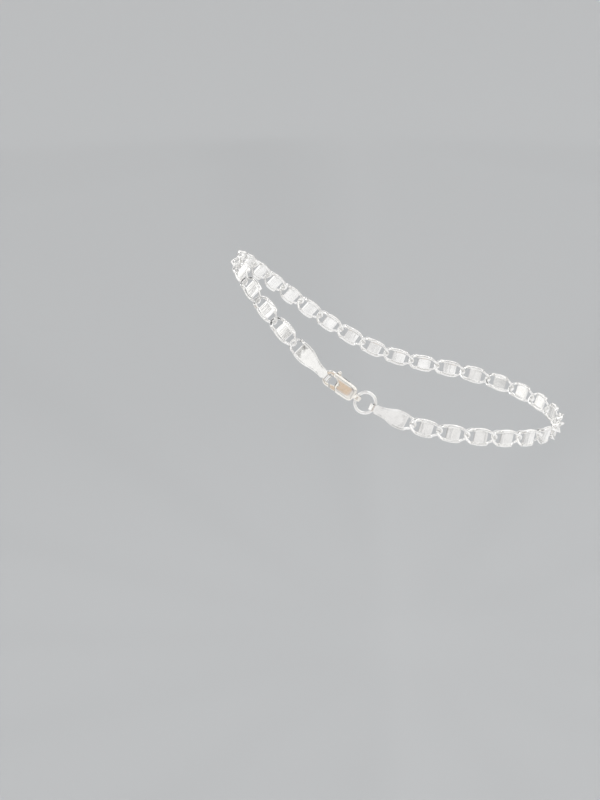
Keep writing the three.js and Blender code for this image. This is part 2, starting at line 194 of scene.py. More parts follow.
def oval_rim():
    """The rim, drawn as a ring of wire and pressed to an oval of even width."""
    ring_radius = 1
    wire_radius = 0.25
    squareness = 0.55
    bpy.ops.object.select_all(action="DESELECT")
    bpy.ops.mesh.primitive_torus_add(major_segments=88, minor_segments=24,
                                     major_radius=ring_radius, minor_radius=wire_radius)
    rim = bpy.context.object
    half_length = (LINK_LENGTH - RIM_WIDTH) / 2
    half_width = (LINK_WIDTH - RIM_WIDTH) / 2
    for vertex in rim.data.vertices:
        around = math.atan2(vertex.co.y, vertex.co.x)
        out = squared((vertex.co.xy.length - ring_radius) / wire_radius, squareness)
        up = squared(vertex.co.z / wire_radius, squareness)
        edge = Vector((math.cos(around) / half_length, math.sin(around) / half_width)).normalized()
        x = half_length * math.cos(around) + edge.x * out * RIM_WIDTH / 2
        y = half_width * math.sin(around) + edge.y * out * RIM_WIDTH / 2
        tip_share = smoothstep(abs(x), TWIST_START, TWIST_FULL)
        height = RIM_HEIGHT + (RIM_TIP_HEIGHT - RIM_HEIGHT) * tip_share
        vertex.co = (x, y, up * height / 2)
    return rim


def link_plate():
    """The plate, slightly crowned along the link and sunk where it meets the rim."""
    margin = 0.45
    sunk = 0.07
    rim_overlap = 0.6
    bpy.ops.object.select_all(action="DESELECT")
    bpy.ops.mesh.primitive_grid_add(x_subdivisions=20, y_subdivisions=24, size=2)
    plate = bpy.context.object
    for vertex in plate.data.vertices:
        x = vertex.co.x * PLATE_LENGTH / 2
        half_width = oval_half_width(abs(x), RIM_WIDTH * rim_overlap)
        y = vertex.co.y * half_width
        crown = PLATE_CROWN * (1 - vertex.co.x ** 2)
        dip = sunk * smoothstep(abs(y), half_width - margin, half_width - margin / 2)
        vertex.co = (x, y, PLATE_THICKNESS / 2 + crown - dip)
    select_only(plate)
    bpy.ops.object.mode_set(mode="EDIT")
    bpy.ops.mesh.select_all(action="SELECT")
    bpy.ops.mesh.extrude_region_move(TRANSFORM_OT_translate={"value": (0, 0, -PLATE_THICKNESS)})
    bpy.ops.mesh.select_all(action="SELECT")
    bpy.ops.mesh.normals_make_consistent(inside=False)
    bpy.ops.object.mode_set(mode="OBJECT")
    for vertex in plate.data.vertices:
        if vertex.co.z < 0:
            vertex.co.z = -PLATE_THICKNESS - vertex.co.z
    return plate


def anchor_link():
    """The plate soldered into the rim, and both ends turned against each other."""
    crease_angle = math.radians(38)
    link = oval_rim()
    combine(link, link_plate(), "UNION")
    for vertex in link.data.vertices:
        turned = smoothstep(abs(vertex.co.x), TWIST_START, TWIST_FULL)
        side = math.copysign(1, vertex.co.x)
        vertex.co.z += side * vertex.co.y * math.tan(END_TWIST) * turned
    select_only(link)
    bpy.ops.object.shade_smooth_by_angle(angle=crease_angle)
    even_normals(link)
    return link


def polished_silver(name, bright, shaded, roughness, ripple_depth):
    """Polished silver with faint clouding, fine wiping marks and the long ripples of a rolled surface.
    Where a piece is marked for it, a patchy dark grey is painted into the silver as shade."""
    shade_grey = (0.16, 0.16, 0.155)
    silver = bpy.data.materials.new(name)
    silver.use_nodes = True
    nodes = silver.node_tree.nodes
    wires = silver.node_tree.links
    shader = nodes["Principled BSDF"]
    shader.inputs["Metallic"].default_value = 1
    place = nodes.new("ShaderNodeAttribute")
    place.attribute_name = "bench"

    cloud = nodes.new("ShaderNodeTexNoise")
    cloud.inputs["Scale"].default_value = 0.5
    cloud.inputs["Detail"].default_value = 3
    wires.new(place.outputs["Vector"], cloud.inputs["Vector"])
    tone = nodes.new("ShaderNodeValToRGB")
    tone.color_ramp.elements[0].position = 0.35
    tone.color_ramp.elements[0].color = (*shaded, 1)
    tone.color_ramp.elements[1].position = 0.6
    tone.color_ramp.elements[1].color = (*bright, 1)
    wires.new(cloud.outputs["Fac"], tone.inputs["Fac"])

    wipe = nodes.new("ShaderNodeTexNoise")
    wipe.inputs["Scale"].default_value = 2.5
    wipe.inputs["Detail"].default_value = 4
    wires.new(place.outputs["Vector"], wipe.inputs["Vector"])
    gloss = nodes.new("ShaderNodeMapRange")
    gloss.inputs["From Min"].default_value = 0.3
    gloss.inputs["From Max"].default_value = 0.7
    gloss.inputs["To Min"].default_value = roughness * 0.7
    gloss.inputs["To Max"].default_value = roughness * 1.3
    wires.new(wipe.outputs["Fac"], gloss.inputs["Value"])
    wires.new(gloss.outputs["Result"], shader.inputs["Roughness"])

    # Painted shade: where a piece is marked for it, a patchy dark grey is mixed into the silver's colour.
    painted_shade = nodes.new("ShaderNodeAttribute")
    painted_shade.attribute_name = "painted_shade"
    patchy_shade = nodes.new("ShaderNodeMath")
    patchy_shade.operation = "MULTIPLY"
    wires.new(painted_shade.outputs["Fac"], patchy_shade.inputs[0])
    wires.new(wipe.outputs["Fac"], patchy_shade.inputs[1])
    shade_mix = nodes.new("ShaderNodeMix")
    shade_mix.data_type = "RGBA"
    mix_share = shade_mix.inputs[0]
    mix_unshaded = shade_mix.inputs[6]
    mix_shade_grey = shade_mix.inputs[7]
    mixed = shade_mix.outputs[2]
    mix_shade_grey.default_value = (*shade_grey, 1)
    wires.new(patchy_shade.outputs["Value"], mix_share)
    wires.new(tone.outputs["Color"], mix_unshaded)
    wires.new(mixed, shader.inputs["Base Color"])

    stretch = nodes.new("ShaderNodeMapping")
    stretch.inputs["Scale"].default_value = (1.3, 0.16, 0.3)
    wires.new(place.outputs["Vector"], stretch.inputs["Vector"])
    ripple = nodes.new("ShaderNodeTexNoise")
    ripple.inputs["Scale"].default_value = 1
    ripple.inputs["Detail"].default_value = 2
    wires.new(stretch.outputs["Vector"], ripple.inputs["Vector"])
    rolled = nodes.new("ShaderNodeBump")
    rolled.inputs["Distance"].default_value = ripple_depth * MM
    wires.new(ripple.outputs["Fac"], rolled.inputs["Height"])
    wires.new(rolled.outputs["Normal"], shader.inputs["Normal"])
    return silver


def set_in_place(piece, name, origin, turn, silver, batch=0):
    """Moves a finished piece from the bench to its place round the loop, in metres. The place that each
    point had on the bench stays with it, so that the ripples of the silver follow the piece. Each piece of
    a batch has its own stretch of the bench, so no two are marked alike."""
    bench_stretch = 23
    piece.name = name
    piece.data.name = name
    bench = piece.data.attributes.new("bench", "FLOAT_VECTOR", "POINT")
    for vertex, mark in zip(piece.data.vertices, bench.data):
        mark.vector = vertex.co + Vector((bench_stretch * batch, 0, 0))
    piece.data.transform(Matrix.Scale(MM, 4) @ Matrix.Translation(origin) @ turn)
    piece.data.materials.clear()
    piece.data.materials.append(silver)


SILVER_BRIGHT = (0.94, 0.935, 0.925)
SILVER_SHADED = (0.88, 0.875, 0.865)
chain_silver = polished_silver("chain_silver", SILVER_BRIGHT, SILVER_SHADED,
                               roughness=0.18, ripple_depth=0.05)
pattern_link = anchor_link()
for i in range(LINK_COUNT):
    start, end, turn = span_axes(FIRST_LINK_SPAN + i)
    select_only(pattern_link)
    bpy.ops.object.duplicate(linked=False)
    link = bpy.context.object
    set_in_place(link, f"anchor_link_{i + 1:02d}", (start + end) / 2, turn, chain_silver, i + 1)
    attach(link, "chain")
    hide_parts(f"link_{i + 1:02d}")
bpy.data.objects.remove(pattern_link)

# The two end tabs, teardrops pressed from silver sheet with a lip round the edge. The wide end has a
# window that hooks into the last link, with a shallow dish beside it. The narrow end is folded back
# on itself: one fold goes round the clasp's hook, the other round the jump ring.
TAB_SHEET = 0.4
TAB_NECK_WIDTH = 2.3
TAB_NECK_LENGTH = 0.3
TAB_SHOULDER = 0.45
TAB_WAIST = 0.4
TAB_FOLD_WIDTH = 1.55
TAB_RETURN = 2.6
TAB_RIM_WIDTH = 0.56
TAB_LIP = 0.07
TAB_LIP_WIDTH = 0.4
TAB_DISH = 0.06
TAB_DISH_REACH = 1.9
FOLD_PLAY = 0.18
HOOK_SLACK = 0.24
RING_SLACK = 0.14
HOOK_THICKNESS = 1.2
HOOK_REACH = 0.6
RING_WIRE = 0.78
TAB_MIDDLE = LINK_PITCH / 2
TAB_WINDOW_END = TAB_MIDDLE - PLATE_LENGTH / 2


def tab_stations(fold_radius, fold_reach):
    """Cross sections from the tip to the end of the fold: place, lean of the sheet and half width."""
    depth = fold_radius + TAB_SHEET / 2
    fold_at = math.sqrt(TAB_PITCH ** 2 - depth ** 2)
    neck_start = fold_at - TAB_NECK_LENGTH
    taper_length = neck_start - TAB_MIDDLE
    stations = []
    tip_steps = 30
    for i in range(1, tip_steps + 1):
        x = TAB_MIDDLE - LINK_LENGTH / 2 * math.cos(math.pi / 2 * i / tip_steps)
        stations.append((x, 0, 0, oval_half_width(TAB_MIDDLE - x, 0)))
    taper = interpolate_bezier(
        Vector((TAB_MIDDLE, LINK_WIDTH / 2)),
        Vector((TAB_MIDDLE + taper_length * TAB_SHOULDER, LINK_WIDTH / 2)),
        Vector((TAB_MIDDLE + taper_length * TAB_WAIST, TAB_NECK_WIDTH / 2)),
        Vector((neck_start, TAB_NECK_WIDTH / 2)), 26)
    stations += [(point.x, 0, 0, point.y) for point in taper[1:]]
    neck_steps = 6
    for i in range(1, neck_steps + 1):
        share = i / neck_steps
        width = TAB_NECK_WIDTH + (TAB_FOLD_WIDTH - TAB_NECK_WIDTH) * share
        stations.append((neck_start + TAB_NECK_LENGTH * share, 0, 0, width / 2))
    fold_steps = 18
    for i in range(fold_steps + 1):
        lean = math.pi * i / fold_steps
        x = fold_at + fold_reach + depth * math.sin(lean)
        stations.append((x, depth * (math.cos(lean) - 1), lean, TAB_FOLD_WIDTH / 2))
    return_steps = 8
    for i in range(1, return_steps + 1):
        x = fold_at + fold_reach - (fold_reach + TAB_RETURN) * i / return_steps
        stations.append((x, -2 * depth, math.pi, TAB_FOLD_WIDTH / 2))
    return stations


def slab_of(name, outline, thickness):
    """A flat outline filled and extruded, half of its thickness on each side."""
    mesh = bpy.data.meshes.new(name)
    sides = [(i, (i + 1) % len(outline)) for i in range(len(outline))]
    mesh.from_pydata([(x, y, -thickness / 2) for x, y in outline], sides, [])
    slab = bpy.data.objects.new(name, mesh)
    bpy.context.collection.objects.link(slab)
    select_only(slab)
    bpy.ops.object.mode_set(mode="EDIT")
    bpy.ops.mesh.select_all(action="SELECT")
    bpy.ops.mesh.edge_face_add()
    bpy.ops.mesh.extrude_region_move(TRANSFORM_OT_translate={"value": (0, 0, thickness)})
    bpy.ops.mesh.select_all(action="SELECT")
    bpy.ops.mesh.normals_make_consistent(inside=False)
    bpy.ops.object.mode_set(mode="OBJECT")
    return slab


def tab_window():
    """A block of the window's outline, to cut it with."""
    inner = LINK_LENGTH / 2 - TAB_RIM_WIDTH
    end_angle = math.acos((TAB_MIDDLE - TAB_WINDOW_END) / inner)
    steps = 16
    cut_depth = 6
    upper = []
    for i in range(1, steps + 1):
        x = TAB_MIDDLE - inner * math.cos(end_angle * i / steps)
        upper.append((x, oval_half_width(TAB_MIDDLE - x, TAB_RIM_WIDTH)))
    lower = [(x, -y) for x, y in upper]
    return slab_of("window", [(TAB_MIDDLE - inner, 0)] + lower + upper[::-1], cut_depth)


def painted_shade_wings(x, y):
    """How much shade is painted on the sheet beside the window: two wings, one in each corner of the dish.
    """
    clean_edge = 0.15
    full_from = 0.4
    wing_reach = 0.95
    wing_flare = 0.6
    wing_parting = 0.15
    fade = 0.2
    clean_side = 1.7
    full_side = 1.35
    from_window = x - TAB_WINDOW_END
    reach = wing_reach + wing_flare * abs(y - wing_parting)
    near = smoothstep(from_window, clean_edge, full_from)
    far = 1 - smoothstep(from_window, reach - fade, reach)
    inside = 1 - smoothstep(abs(y), full_side, clean_side)
    return near * far * inside


def end_tab(fold_radius, fold_reach, painted_shade):
    """A strip of sheet shaped to the stations, thickened, with its window cut and its edges rounded."""
    lip_end = TAB_PITCH - 2 * TAB_NECK_LENGTH
    lip_fade = 2
    lip_flat = 0.4
    dish_flat = 0.5
    dish_squeeze = 1.1
    stations = tab_stations(fold_radius, fold_reach)
    rows = 28
    bpy.ops.object.select_all(action="DESELECT")
    bpy.ops.mesh.primitive_grid_add(x_subdivisions=len(stations) - 1, y_subdivisions=rows, size=2)
    tab = bpy.context.object
    for vertex in tab.data.vertices:
        column = round((vertex.co.x + 1) / 2 * (len(stations) - 1))
        x, z, lean, half_width = stations[column]
        y = half_width * math.sin(vertex.co.y * math.pi / 2)
        from_edge = half_width - abs(y)
        on_sheet = 1 - smoothstep(x, lip_end - lip_fade, lip_end) if lean == 0 else 0
        lip = TAB_LIP * (1 - smoothstep(from_edge, TAB_LIP_WIDTH * lip_flat, TAB_LIP_WIDTH))
        from_window = math.hypot(x - TAB_WINDOW_END, y * dish_squeeze)
        dish = TAB_DISH * (1 - smoothstep(from_window, TAB_DISH_REACH * dish_flat, TAB_DISH_REACH))
        relief = (lip - dish) * on_sheet
        turned = smoothstep(TAB_MIDDLE - x, TWIST_START, TWIST_FULL) if lean == 0 else 0
        vertex.co = (x + relief * math.sin(lean), y,
                     z + relief * math.cos(lean) - y * math.tan(END_TWIST) * turned)
    select_only(tab)
    sheet = tab.modifiers.new("sheet", "SOLIDIFY")
    sheet.thickness = TAB_SHEET
    sheet.offset = 0
    bpy.ops.object.modifier_apply(modifier=sheet.name)
    combine(tab, tab_window(), "DIFFERENCE")
    finish_edges(tab, width=0.07, segments=2, angle=50)
    even_normals(tab)
    # Painted shade: the wings beside the window are marked for a dark grey painted into the silver.
    shade_marks = tab.data.attributes.new("painted_shade", "FLOAT", "POINT")
    for vertex, mark in zip(tab.data.vertices, shade_marks.data):
        if vertex.co.z > 0:
            mark.value = painted_shade * painted_shade_wings(vertex.co.x, vertex.co.y)
    return tab


def tab_turn(fold_radius):
    """The fold lies behind the sheet, so the sheet leans out from the line of its pivots."""
    return Matrix.Rotation(-math.asin((fold_radius + TAB_SHEET / 2) / TAB_PITCH), 4, "Y")


# How strongly shade is painted in each tab's wings beside the window.
HOOK_TAB_PAINTED_SHADE = 1
RING_TAB_PAINTED_SHADE = 0.3
tab_silver = polished_silver("tab_silver", SILVER_BRIGHT, SILVER_SHADED,
                             roughness=0.16, ripple_depth=0.02)
hook_fold = HOOK_THICKNESS / 2 + FOLD_PLAY
hook_fold_reach = HOOK_REACH + FOLD_PLAY - hook_fold + HOOK_SLACK
hook_tab = end_tab(hook_fold, hook_fold_reach, HOOK_TAB_PAINTED_SHADE)
start, _, turn = span_axes(HOOK_TAB_SPAN)
set_in_place(hook_tab, "end_tab_hook_side", start, turn @ tab_turn(hook_fold), tab_silver)
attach(hook_tab, "chain")
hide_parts("tab_hook")

ring_fold = RING_WIRE / 2 + FOLD_PLAY
ring_bow = RING_PITCH / 2 - math.sqrt((RING_PITCH / 2) ** 2 - (TAB_FOLD_WIDTH / 2) ** 2)
ring_tab = end_tab(ring_fold, ring_bow + RING_SLACK, RING_TAB_PAINTED_SHADE)
_, end, turn = span_axes(RING_TAB_SPAN)
half_turn = Matrix.Rotation(math.pi, 4, "Z")
set_in_place(ring_tab, "end_tab_ring_side", end, turn @ half_turn @ tab_turn(ring_fold), tab_silver)
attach(ring_tab, "chain")
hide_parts("tab_ring")

# The jump ring, a length of round silver wire closed to a circle, with a softer polish than the links.
# Its two ends butt together, with a hairline between them. It joins the clasp's tail to the ring-side tab.
RING_SEAM = 0.05
SEAM_FLOOR = RING_PITCH / 2 + RING_WIRE * 0.32
SEAM_BEARING = math.radians(130)
bpy.ops.object.select_all(action="DESELECT")
bpy.ops.mesh.primitive_torus_add(major_segments=120, minor_segments=24,
                                 major_radius=RING_PITCH / 2, minor_radius=RING_WIRE / 2)
jump_ring = bpy.context.object
seam = slab_of("seam", [(-RING_SEAM / 2, 0), (RING_SEAM / 2, 0), (RING_SEAM / 2, RING_PITCH),
                        (-RING_SEAM / 2, RING_PITCH)], RING_WIRE * 2)
select_only(seam)
seam.data.transform(Matrix.Rotation(SEAM_BEARING, 4, "Z") @ Matrix.Translation((0, SEAM_FLOOR, 0)))
combine(jump_ring, seam, "DIFFERENCE")
select_only(jump_ring)
bpy.ops.object.shade_smooth_by_angle(angle=math.radians(50))
ring_silver = polished_silver("ring_silver", bright=(0.97, 0.965, 0.955), shaded=(0.93, 0.925, 0.915),
                              roughness=0.32, ripple_depth=0.01)
start, end, turn = span_axes(RING_SPAN)
set_in_place(jump_ring, "closed_jump_ring", (start + end) / 2, turn, ring_silver)
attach(jump_ring, "chain")
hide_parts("jump_ring")

# The lobster clasp's body, cast in silver and polished, a little warmer than the chain. It is one
# piece: a claw-shaped hook, two rounded cheeks with a slot for the lever, and a bail at the tail.
BODY_THICKNESS = 2.3
BACK_EDGE = 2
BELLY_EDGE = -2
WINDOW_TOP = 0.9
WINDOW_FLOOR = -1.13
HOOK_TIP = 2.35
MOUTH_END = 4.1
CHEEK_START = 1.5
TAIL_CURVE = 6.8
TAIL_END = 8.5
TAIL_HALF_WIDTH = 0.8
SLOT_WIDTH = 1.18
NUB = Vector((2.48, 2.36))
PIVOT = Vector((4.7, -0.6))
HUB_RADIUS = 0.7
PIN_RADIUS = 0.3
PIN_PLAY = 0.13
PIN_SIDES = 32
FRONT_SKIN = 0.28
HOOK_ROUNDING = 0.35
CHEEK_ROUNDING = 0.45
CREASE_ANGLE = math.radians(35)
BAIL_WIDTH = 1.3
BAIL_WALL = 0.42
BAIL_PLAY = 0.33
BAIL_EYE = RING_WIRE / 2 + BAIL_PLAY


def curve_on(outline, first_handle, second_handle, end, steps=16):
    """Carries an outline on along a curve."""
    points = interpolate_bezier(Vector(outline[-1]), Vector(first_handle), Vector(second_handle),
                                Vector(end), steps)
    outline += [(point.x, point.y) for point in points[1:]]


def carry_round_body(outline):
    """Along the back, round the blunt tail, along the belly and up the front edge by the window."""
    fullness = 0.8
    corner = (TAIL_CURVE + TAIL_END) / 2 + 0.4
    outline.append((TAIL_CURVE, BACK_EDGE))
    curve_on(outline, (corner, BACK_EDGE), (TAIL_END, BACK_EDGE * fullness), (TAIL_END, TAIL_HALF_WIDTH))
    outline.append((TAIL_END, 0))
    outline.append((TAIL_END, -TAIL_HALF_WIDTH))
    curve_on(outline, (TAIL_END, BELLY_EDGE * fullness), (corner, BELLY_EDGE), (TAIL_CURVE, BELLY_EDGE))
    outline.append((MOUTH_END + 1.2, BELLY_EDGE))
    outline.append((MOUTH_END, BELLY_EDGE))
    outline.append((MOUTH_END - 0.35, BELLY_EDGE + 0.45))
    curve_on(outline, (MOUTH_END - 0.68, WINDOW_TOP - 2.08), (MOUTH_END - 0.83, WINDOW_TOP - 1.67),
             (MOUTH_END - 0.8, WINDOW_TOP - 1.2), 8)
    curve_on(outline, (MOUTH_END - 0.87, WINDOW_TOP - 0.53), (HOOK_TIP + 0.55, WINDOW_TOP - 0.13),
             (HOOK_TIP - 0.05, WINDOW_TOP), 8)


def round_rims(slab, width):
    """Rounds the edges of a slab's two faces and leaves its upright corners as they are."""
    corners = slab.data.vertices
    weights = slab.data.attributes.new("bevel_weight_edge", "FLOAT", "EDGE")
    for edge, weight in zip(slab.data.edges, weights.data):
        first, second = edge.vertices
        weight.value = 1 if corners[first].co.z == corners[second].co.z else 0
    select_only(slab)
    rounding = slab.modifiers.new("rounded_rims", "BEVEL")
    rounding.width = width
    rounding.segments = 6
    rounding.limit_method = "WEIGHT"
    rounding.use_clamp_overlap = False
    bpy.ops.object.modifier_apply(modifier=rounding.name)


def clasp_hook():
    """The hook with the window that it closes round, in one slab with the middle of the body."""
    outline = [(HOOK_TIP, BELLY_EDGE), (CHEEK_START - 0.2, BELLY_EDGE)]
    curve_on(outline, (0.1, BELLY_EDGE + 0.05), (-HOOK_REACH, -1), (-HOOK_REACH, 0.1))
    curve_on(outline, (-HOOK_REACH, 1.3), (0.3, BACK_EDGE - 0.05), (CHEEK_START + 0.1, BACK_EDGE))
    carry_round_body(outline)
    outline += [(HOOK_REACH + 0.25, WINDOW_TOP), (HOOK_REACH + 0.05, WINDOW_TOP - 0.05)]
    outline += [(HOOK_REACH, WINDOW_TOP - 0.15), (HOOK_REACH, WINDOW_FLOOR + 0.2)]
    outline += [(HOOK_REACH + 0.05, WINDOW_FLOOR + 0.06), (HOOK_REACH + 0.2, WINDOW_FLOOR)]
    outline += [(HOOK_TIP - 0.6, WINDOW_FLOOR - 0.07)]
    hook = slab_of("hook", outline, HOOK_THICKNESS)
    round_rims(hook, HOOK_ROUNDING)
    return hook


def pillow():
    """A pillow round the body, nearly flat in the middle and round towards the back, belly and tail."""
    front = -0.2
    back = TAIL_END + 0.12
    play = 0.03
    squareness = 0.43
    half_size = Vector(((back - front) / 2, (BACK_EDGE - BELLY_EDGE) / 2 + play, BODY_THICKNESS / 2 - play))
    middle = Vector((front + half_size.x, (BACK_EDGE + BELLY_EDGE) / 2, 0))
    bpy.ops.object.select_all(action="DESELECT")
    bpy.ops.mesh.primitive_uv_sphere_add(segments=96, ring_count=48, radius=1)
    shape = bpy.context.object
    for vertex in shape.data.vertices:
        vertex.co = middle + half_size * Vector([squared(side, squareness) for side in vertex.co])
    return shape


def clasp_cheeks():
    """The thick part behind the window, rounded at its rims and pressed to the pillow's shape."""
    outline = [(CHEEK_START, WINDOW_TOP + 0.02)]
    curve_on(outline, (CHEEK_START - 0.1, 1.4), (CHEEK_START - 0.1, 1.7), (CHEEK_START + 0.1, BACK_EDGE), 3)
    carry_round_body(outline)
    cheeks = slab_of("cheeks", outline, BODY_THICKNESS)
    round_rims(cheeks, CHEEK_ROUNDING)
    combine(cheeks, pillow(), "INTERSECT")
    return cheeks


def lever_slot():
    """A block to cut the slot with, open at the back for the nub and at the belly for the gate."""
    front = NUB.x - 0.7
    above = NUB.y + 1
    below = BELLY_EDGE - 0.55
    inner = HOOK_TIP + 0.4
    back = PIVOT.x + HUB_RADIUS + 0.4
    outline = [(front, WINDOW_TOP - 0.6), (front, above), (PIVOT.x + 0.5, above), (back, BACK_EDGE - 0.5)]
    outline += [(back, PIVOT.y - 0.1), (PIVOT.x + 0.5, PIVOT.y - HUB_RADIUS - 0.12)]
    outline += [(PIVOT.x - 0.2, PIVOT.y - HUB_RADIUS - 0.15), (MOUTH_END - 0.15, below)]
    outline += [(inner, below), (inner, WINDOW_TOP - 0.6)]
    return slab_of("slot", outline, SLOT_WIDTH)


def round_bar(radius, back, front):
    """A round bar through the clasp at the lever's pivot."""
    bpy.ops.object.select_all(action="DESELECT")
    bpy.ops.mesh.primitive_cylinder_add(vertices=PIN_SIDES, radius=radius, depth=front - back)
    bar = bpy.context.object
    bar.data.transform(Matrix.Translation((PIVOT.x, PIVOT.y, (front + back) / 2)))
    return bar


def barrel_across_tail(radius, width):
    """A barrel across the clasp, where its tail holds the jump ring."""
    bpy.ops.object.select_all(action="DESELECT")
    bpy.ops.mesh.primitive_cylinder_add(vertices=48, radius=radius, depth=width)
    barrel = bpy.context.object
    barrel.data.transform(Matrix.Translation((CLASP_PITCH, 0, 0)) @ Matrix.Rotation(math.pi / 2, 4, "X"))
    return barrel


def tail_bail():
    """The rounded barrel that the bail's eye is cut through."""
    bail = barrel_across_tail(BAIL_EYE + BAIL_WALL, BAIL_WIDTH)
    finish_edges(bail, width=0.3, segments=4, angle=50)
    return bail


clasp_silver = polished_silver("clasp_silver", bright=(0.95, 0.93, 0.89), shaded=(0.9, 0.87, 0.82),
                               roughness=0.15, ripple_depth=0.012)
clasp_body = clasp_cheeks()
combine(clasp_body, clasp_hook(), "UNION")
combine(clasp_body, tail_bail(), "UNION")
combine(clasp_body, lever_slot(), "DIFFERENCE")
pin_hole_front = BODY_THICKNESS / 2 - FRONT_SKIN
combine(clasp_body, round_bar(PIN_RADIUS + PIN_PLAY, -BODY_THICKNESS, pin_hole_front), "DIFFERENCE")
combine(clasp_body, barrel_across_tail(BAIL_EYE, LINK_WIDTH), "DIFFERENCE")
select_only(clasp_body)
bpy.ops.object.shade_smooth_by_angle(angle=CREASE_ANGLE)
even_normals(clasp_body)
clasp_place, _, clasp_turn = span_axes(CLASP_SPAN)
set_in_place(clasp_body, "lobster_clasp_body", clasp_place, clasp_turn, clasp_silver)
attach(clasp_body, "chain")
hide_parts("clasp_body")

# The pin, a silver rivet through the cheeks that the lever turns on. Its back end is peened to a
# low dome, and its front end stops under the front cheek's skin.
PIN_RECESS = 0.1
PIN_DOME = 0.12
clasp_pin = round_bar(PIN_RADIUS, -BODY_THICKNESS / 2 + PIN_RECESS / 2, pin_hole_front - PIN_RECESS)
finish_edges(clasp_pin, width=PIN_DOME, segments=4, angle=50)
set_in_place(clasp_pin, "lever_rivet", clasp_place, clasp_turn, clasp_silver)
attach(clasp_pin, "chain")
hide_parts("clasp_pin")

# The lever, a flat silver casting in the slot: a gate that closes the hook's mouth, a hub on the pin
# and an arm up to the round thumb nub. A hidden spring holds it shut.
LEVER_THICKNESS = 0.8
LEVER_ROUNDING = 0.12
NUB_RADIUS = 0.52
GATE_PLAY = 0.17
HUB_STEPS = 12
HUB_SWEEP = math.pi / 2 + 0.15
gate_floor = BELLY_EDGE + 0.05
arm = [(HOOK_TIP + GATE_PLAY, gate_floor), (MOUTH_END - 0.25, gate_floor)]
arm += [(MOUTH_END - 0.05, PIVOT.y - HUB_RADIUS + 0.08)]
for i in range(HUB_STEPS + 1):
    angle = -math.pi / 2 + HUB_SWEEP * i / HUB_STEPS
    arm.append((PIVOT.x + HUB_RADIUS * math.cos(angle), PIVOT.y + HUB_RADIUS * math.sin(angle)))
arm += [(PIVOT.x + 0.35, WINDOW_TOP - 0.1), (PIVOT.x - 0.4, BACK_EDGE - 0.35)]
arm += [(NUB.x + 0.35, NUB.y - 0.1), (NUB.x - 0.3, NUB.y - 0.1), (NUB.x - 0.21, BACK_EDGE - 0.35)]
arm += [(PIVOT.x - 0.75, WINDOW_TOP + 0.2), (PIVOT.x - 0.5, WINDOW_TOP - 0.4)]
arm += [(PIVOT.x - 0.75, PIVOT.y - 0.1), (PIVOT.x - 1.1, PIVOT.y - 0.2)]
arm += [(HOOK_TIP - 0.4, WINDOW_FLOOR + 0.03)]
lever = slab_of("arm", arm, LEVER_THICKNESS)
finish_edges(lever, width=LEVER_ROUNDING, segments=3, angle=40)
bpy.ops.object.select_all(action="DESELECT")
bpy.ops.mesh.primitive_uv_sphere_add(segments=36, ring_count=20, radius=NUB_RADIUS)
thumb_nub = bpy.context.object
thumb_nub.data.transform(Matrix.Translation((NUB.x, NUB.y, 0)))
combine(lever, thumb_nub, "UNION")
combine(lever, round_bar(PIN_RADIUS + PIN_PLAY, -BODY_THICKNESS, BODY_THICKNESS), "DIFFERENCE")
select_only(lever)
bpy.ops.object.shade_smooth_by_angle(angle=CREASE_ANGLE)
even_normals(lever)
set_in_place(lever, "lobster_clasp_lever", clasp_place, clasp_turn, clasp_silver)
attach(lever, "lever")
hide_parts("clasp_lever")

# The floor, a wide sheet of pale matt board that lies some way under the anklet and shows through
# the windows of its links.
FLOOR_HEIGHT = -0.08
FLOOR_SIZE = 8
FLOOR_GREY = (0.46, 0.47, 0.48)
bpy.ops.object.select_all(action="DESELECT")
bpy.ops.mesh.primitive_plane_add(size=FLOOR_SIZE, location=(0, 0, FLOOR_HEIGHT))
floor = bpy.context.object
floor.name = "floor"
board = bpy.data.materials.new("pale_board")
board.use_nodes = True
board_shader = board.node_tree.nodes["Principled BSDF"]
board_shader.inputs["Base Color"].default_value = (*FLOOR_GREY, 1)
board_shader.inputs["Roughness"].default_value = 0.85
floor.data.materials.append(board)

# The backdrop, a wide plain dome as grey as the floor in its light. It shows behind the floor's far
# edge and takes no part in the lighting.
BACKDROP_RADIUS = 3.8
BACKDROP_GREY = (0.51, 0.525, 0.53)
bpy.ops.object.select_all(action="DESELECT")
bpy.ops.mesh.primitive_uv_sphere_add(segments=64, ring_count=32, radius=BACKDROP_RADIUS,
                                     location=(0, 0, FLOOR_HEIGHT))
backdrop = bpy.context.object
backdrop.name = "backdrop"
backdrop_paper = bpy.data.materials.new("backdrop_paper")
backdrop_paper.use_nodes = True
paper_nodes = backdrop_paper.node_tree.nodes
paper_nodes.remove(paper_nodes["Principled BSDF"])
paper_light = paper_nodes.new("ShaderNodeEmission")
paper_light.inputs["Color"].default_value = (*BACKDROP_GREY, 1)
backdrop_paper.node_tree.links.new(paper_light.outputs["Emission"],
                                   paper_nodes["Material Output"].inputs["Surface"])
backdrop_paper.cycles.emission_sampling = "NONE"
backdrop.data.materials.append(backdrop_paper)
backdrop.visible_diffuse = False
backdrop.visible_glossy = False
backdrop.visible_shadow = False

# Soft studio light: a round white wall of upright panels, a little dimmer in front, with a dark ring
# high up. A light table under the anklet and a warm card in front of it show only in the polished
# silver. A wide soft lamp lights the floor, and two small ones put a sparkle on the edges.
PANELS = 13
WALL_STOPS = (
    (0.0, (0.9, 0.89, 0.87)),
    (0.3, (1, 0.995, 0.98)),
    (0.84, (1, 1, 1)),
    (0.87, (0.05, 0.052, 0.055)),
    (0.95, (0.05, 0.052, 0.055)),
    (0.98, (1, 1, 1)),
)


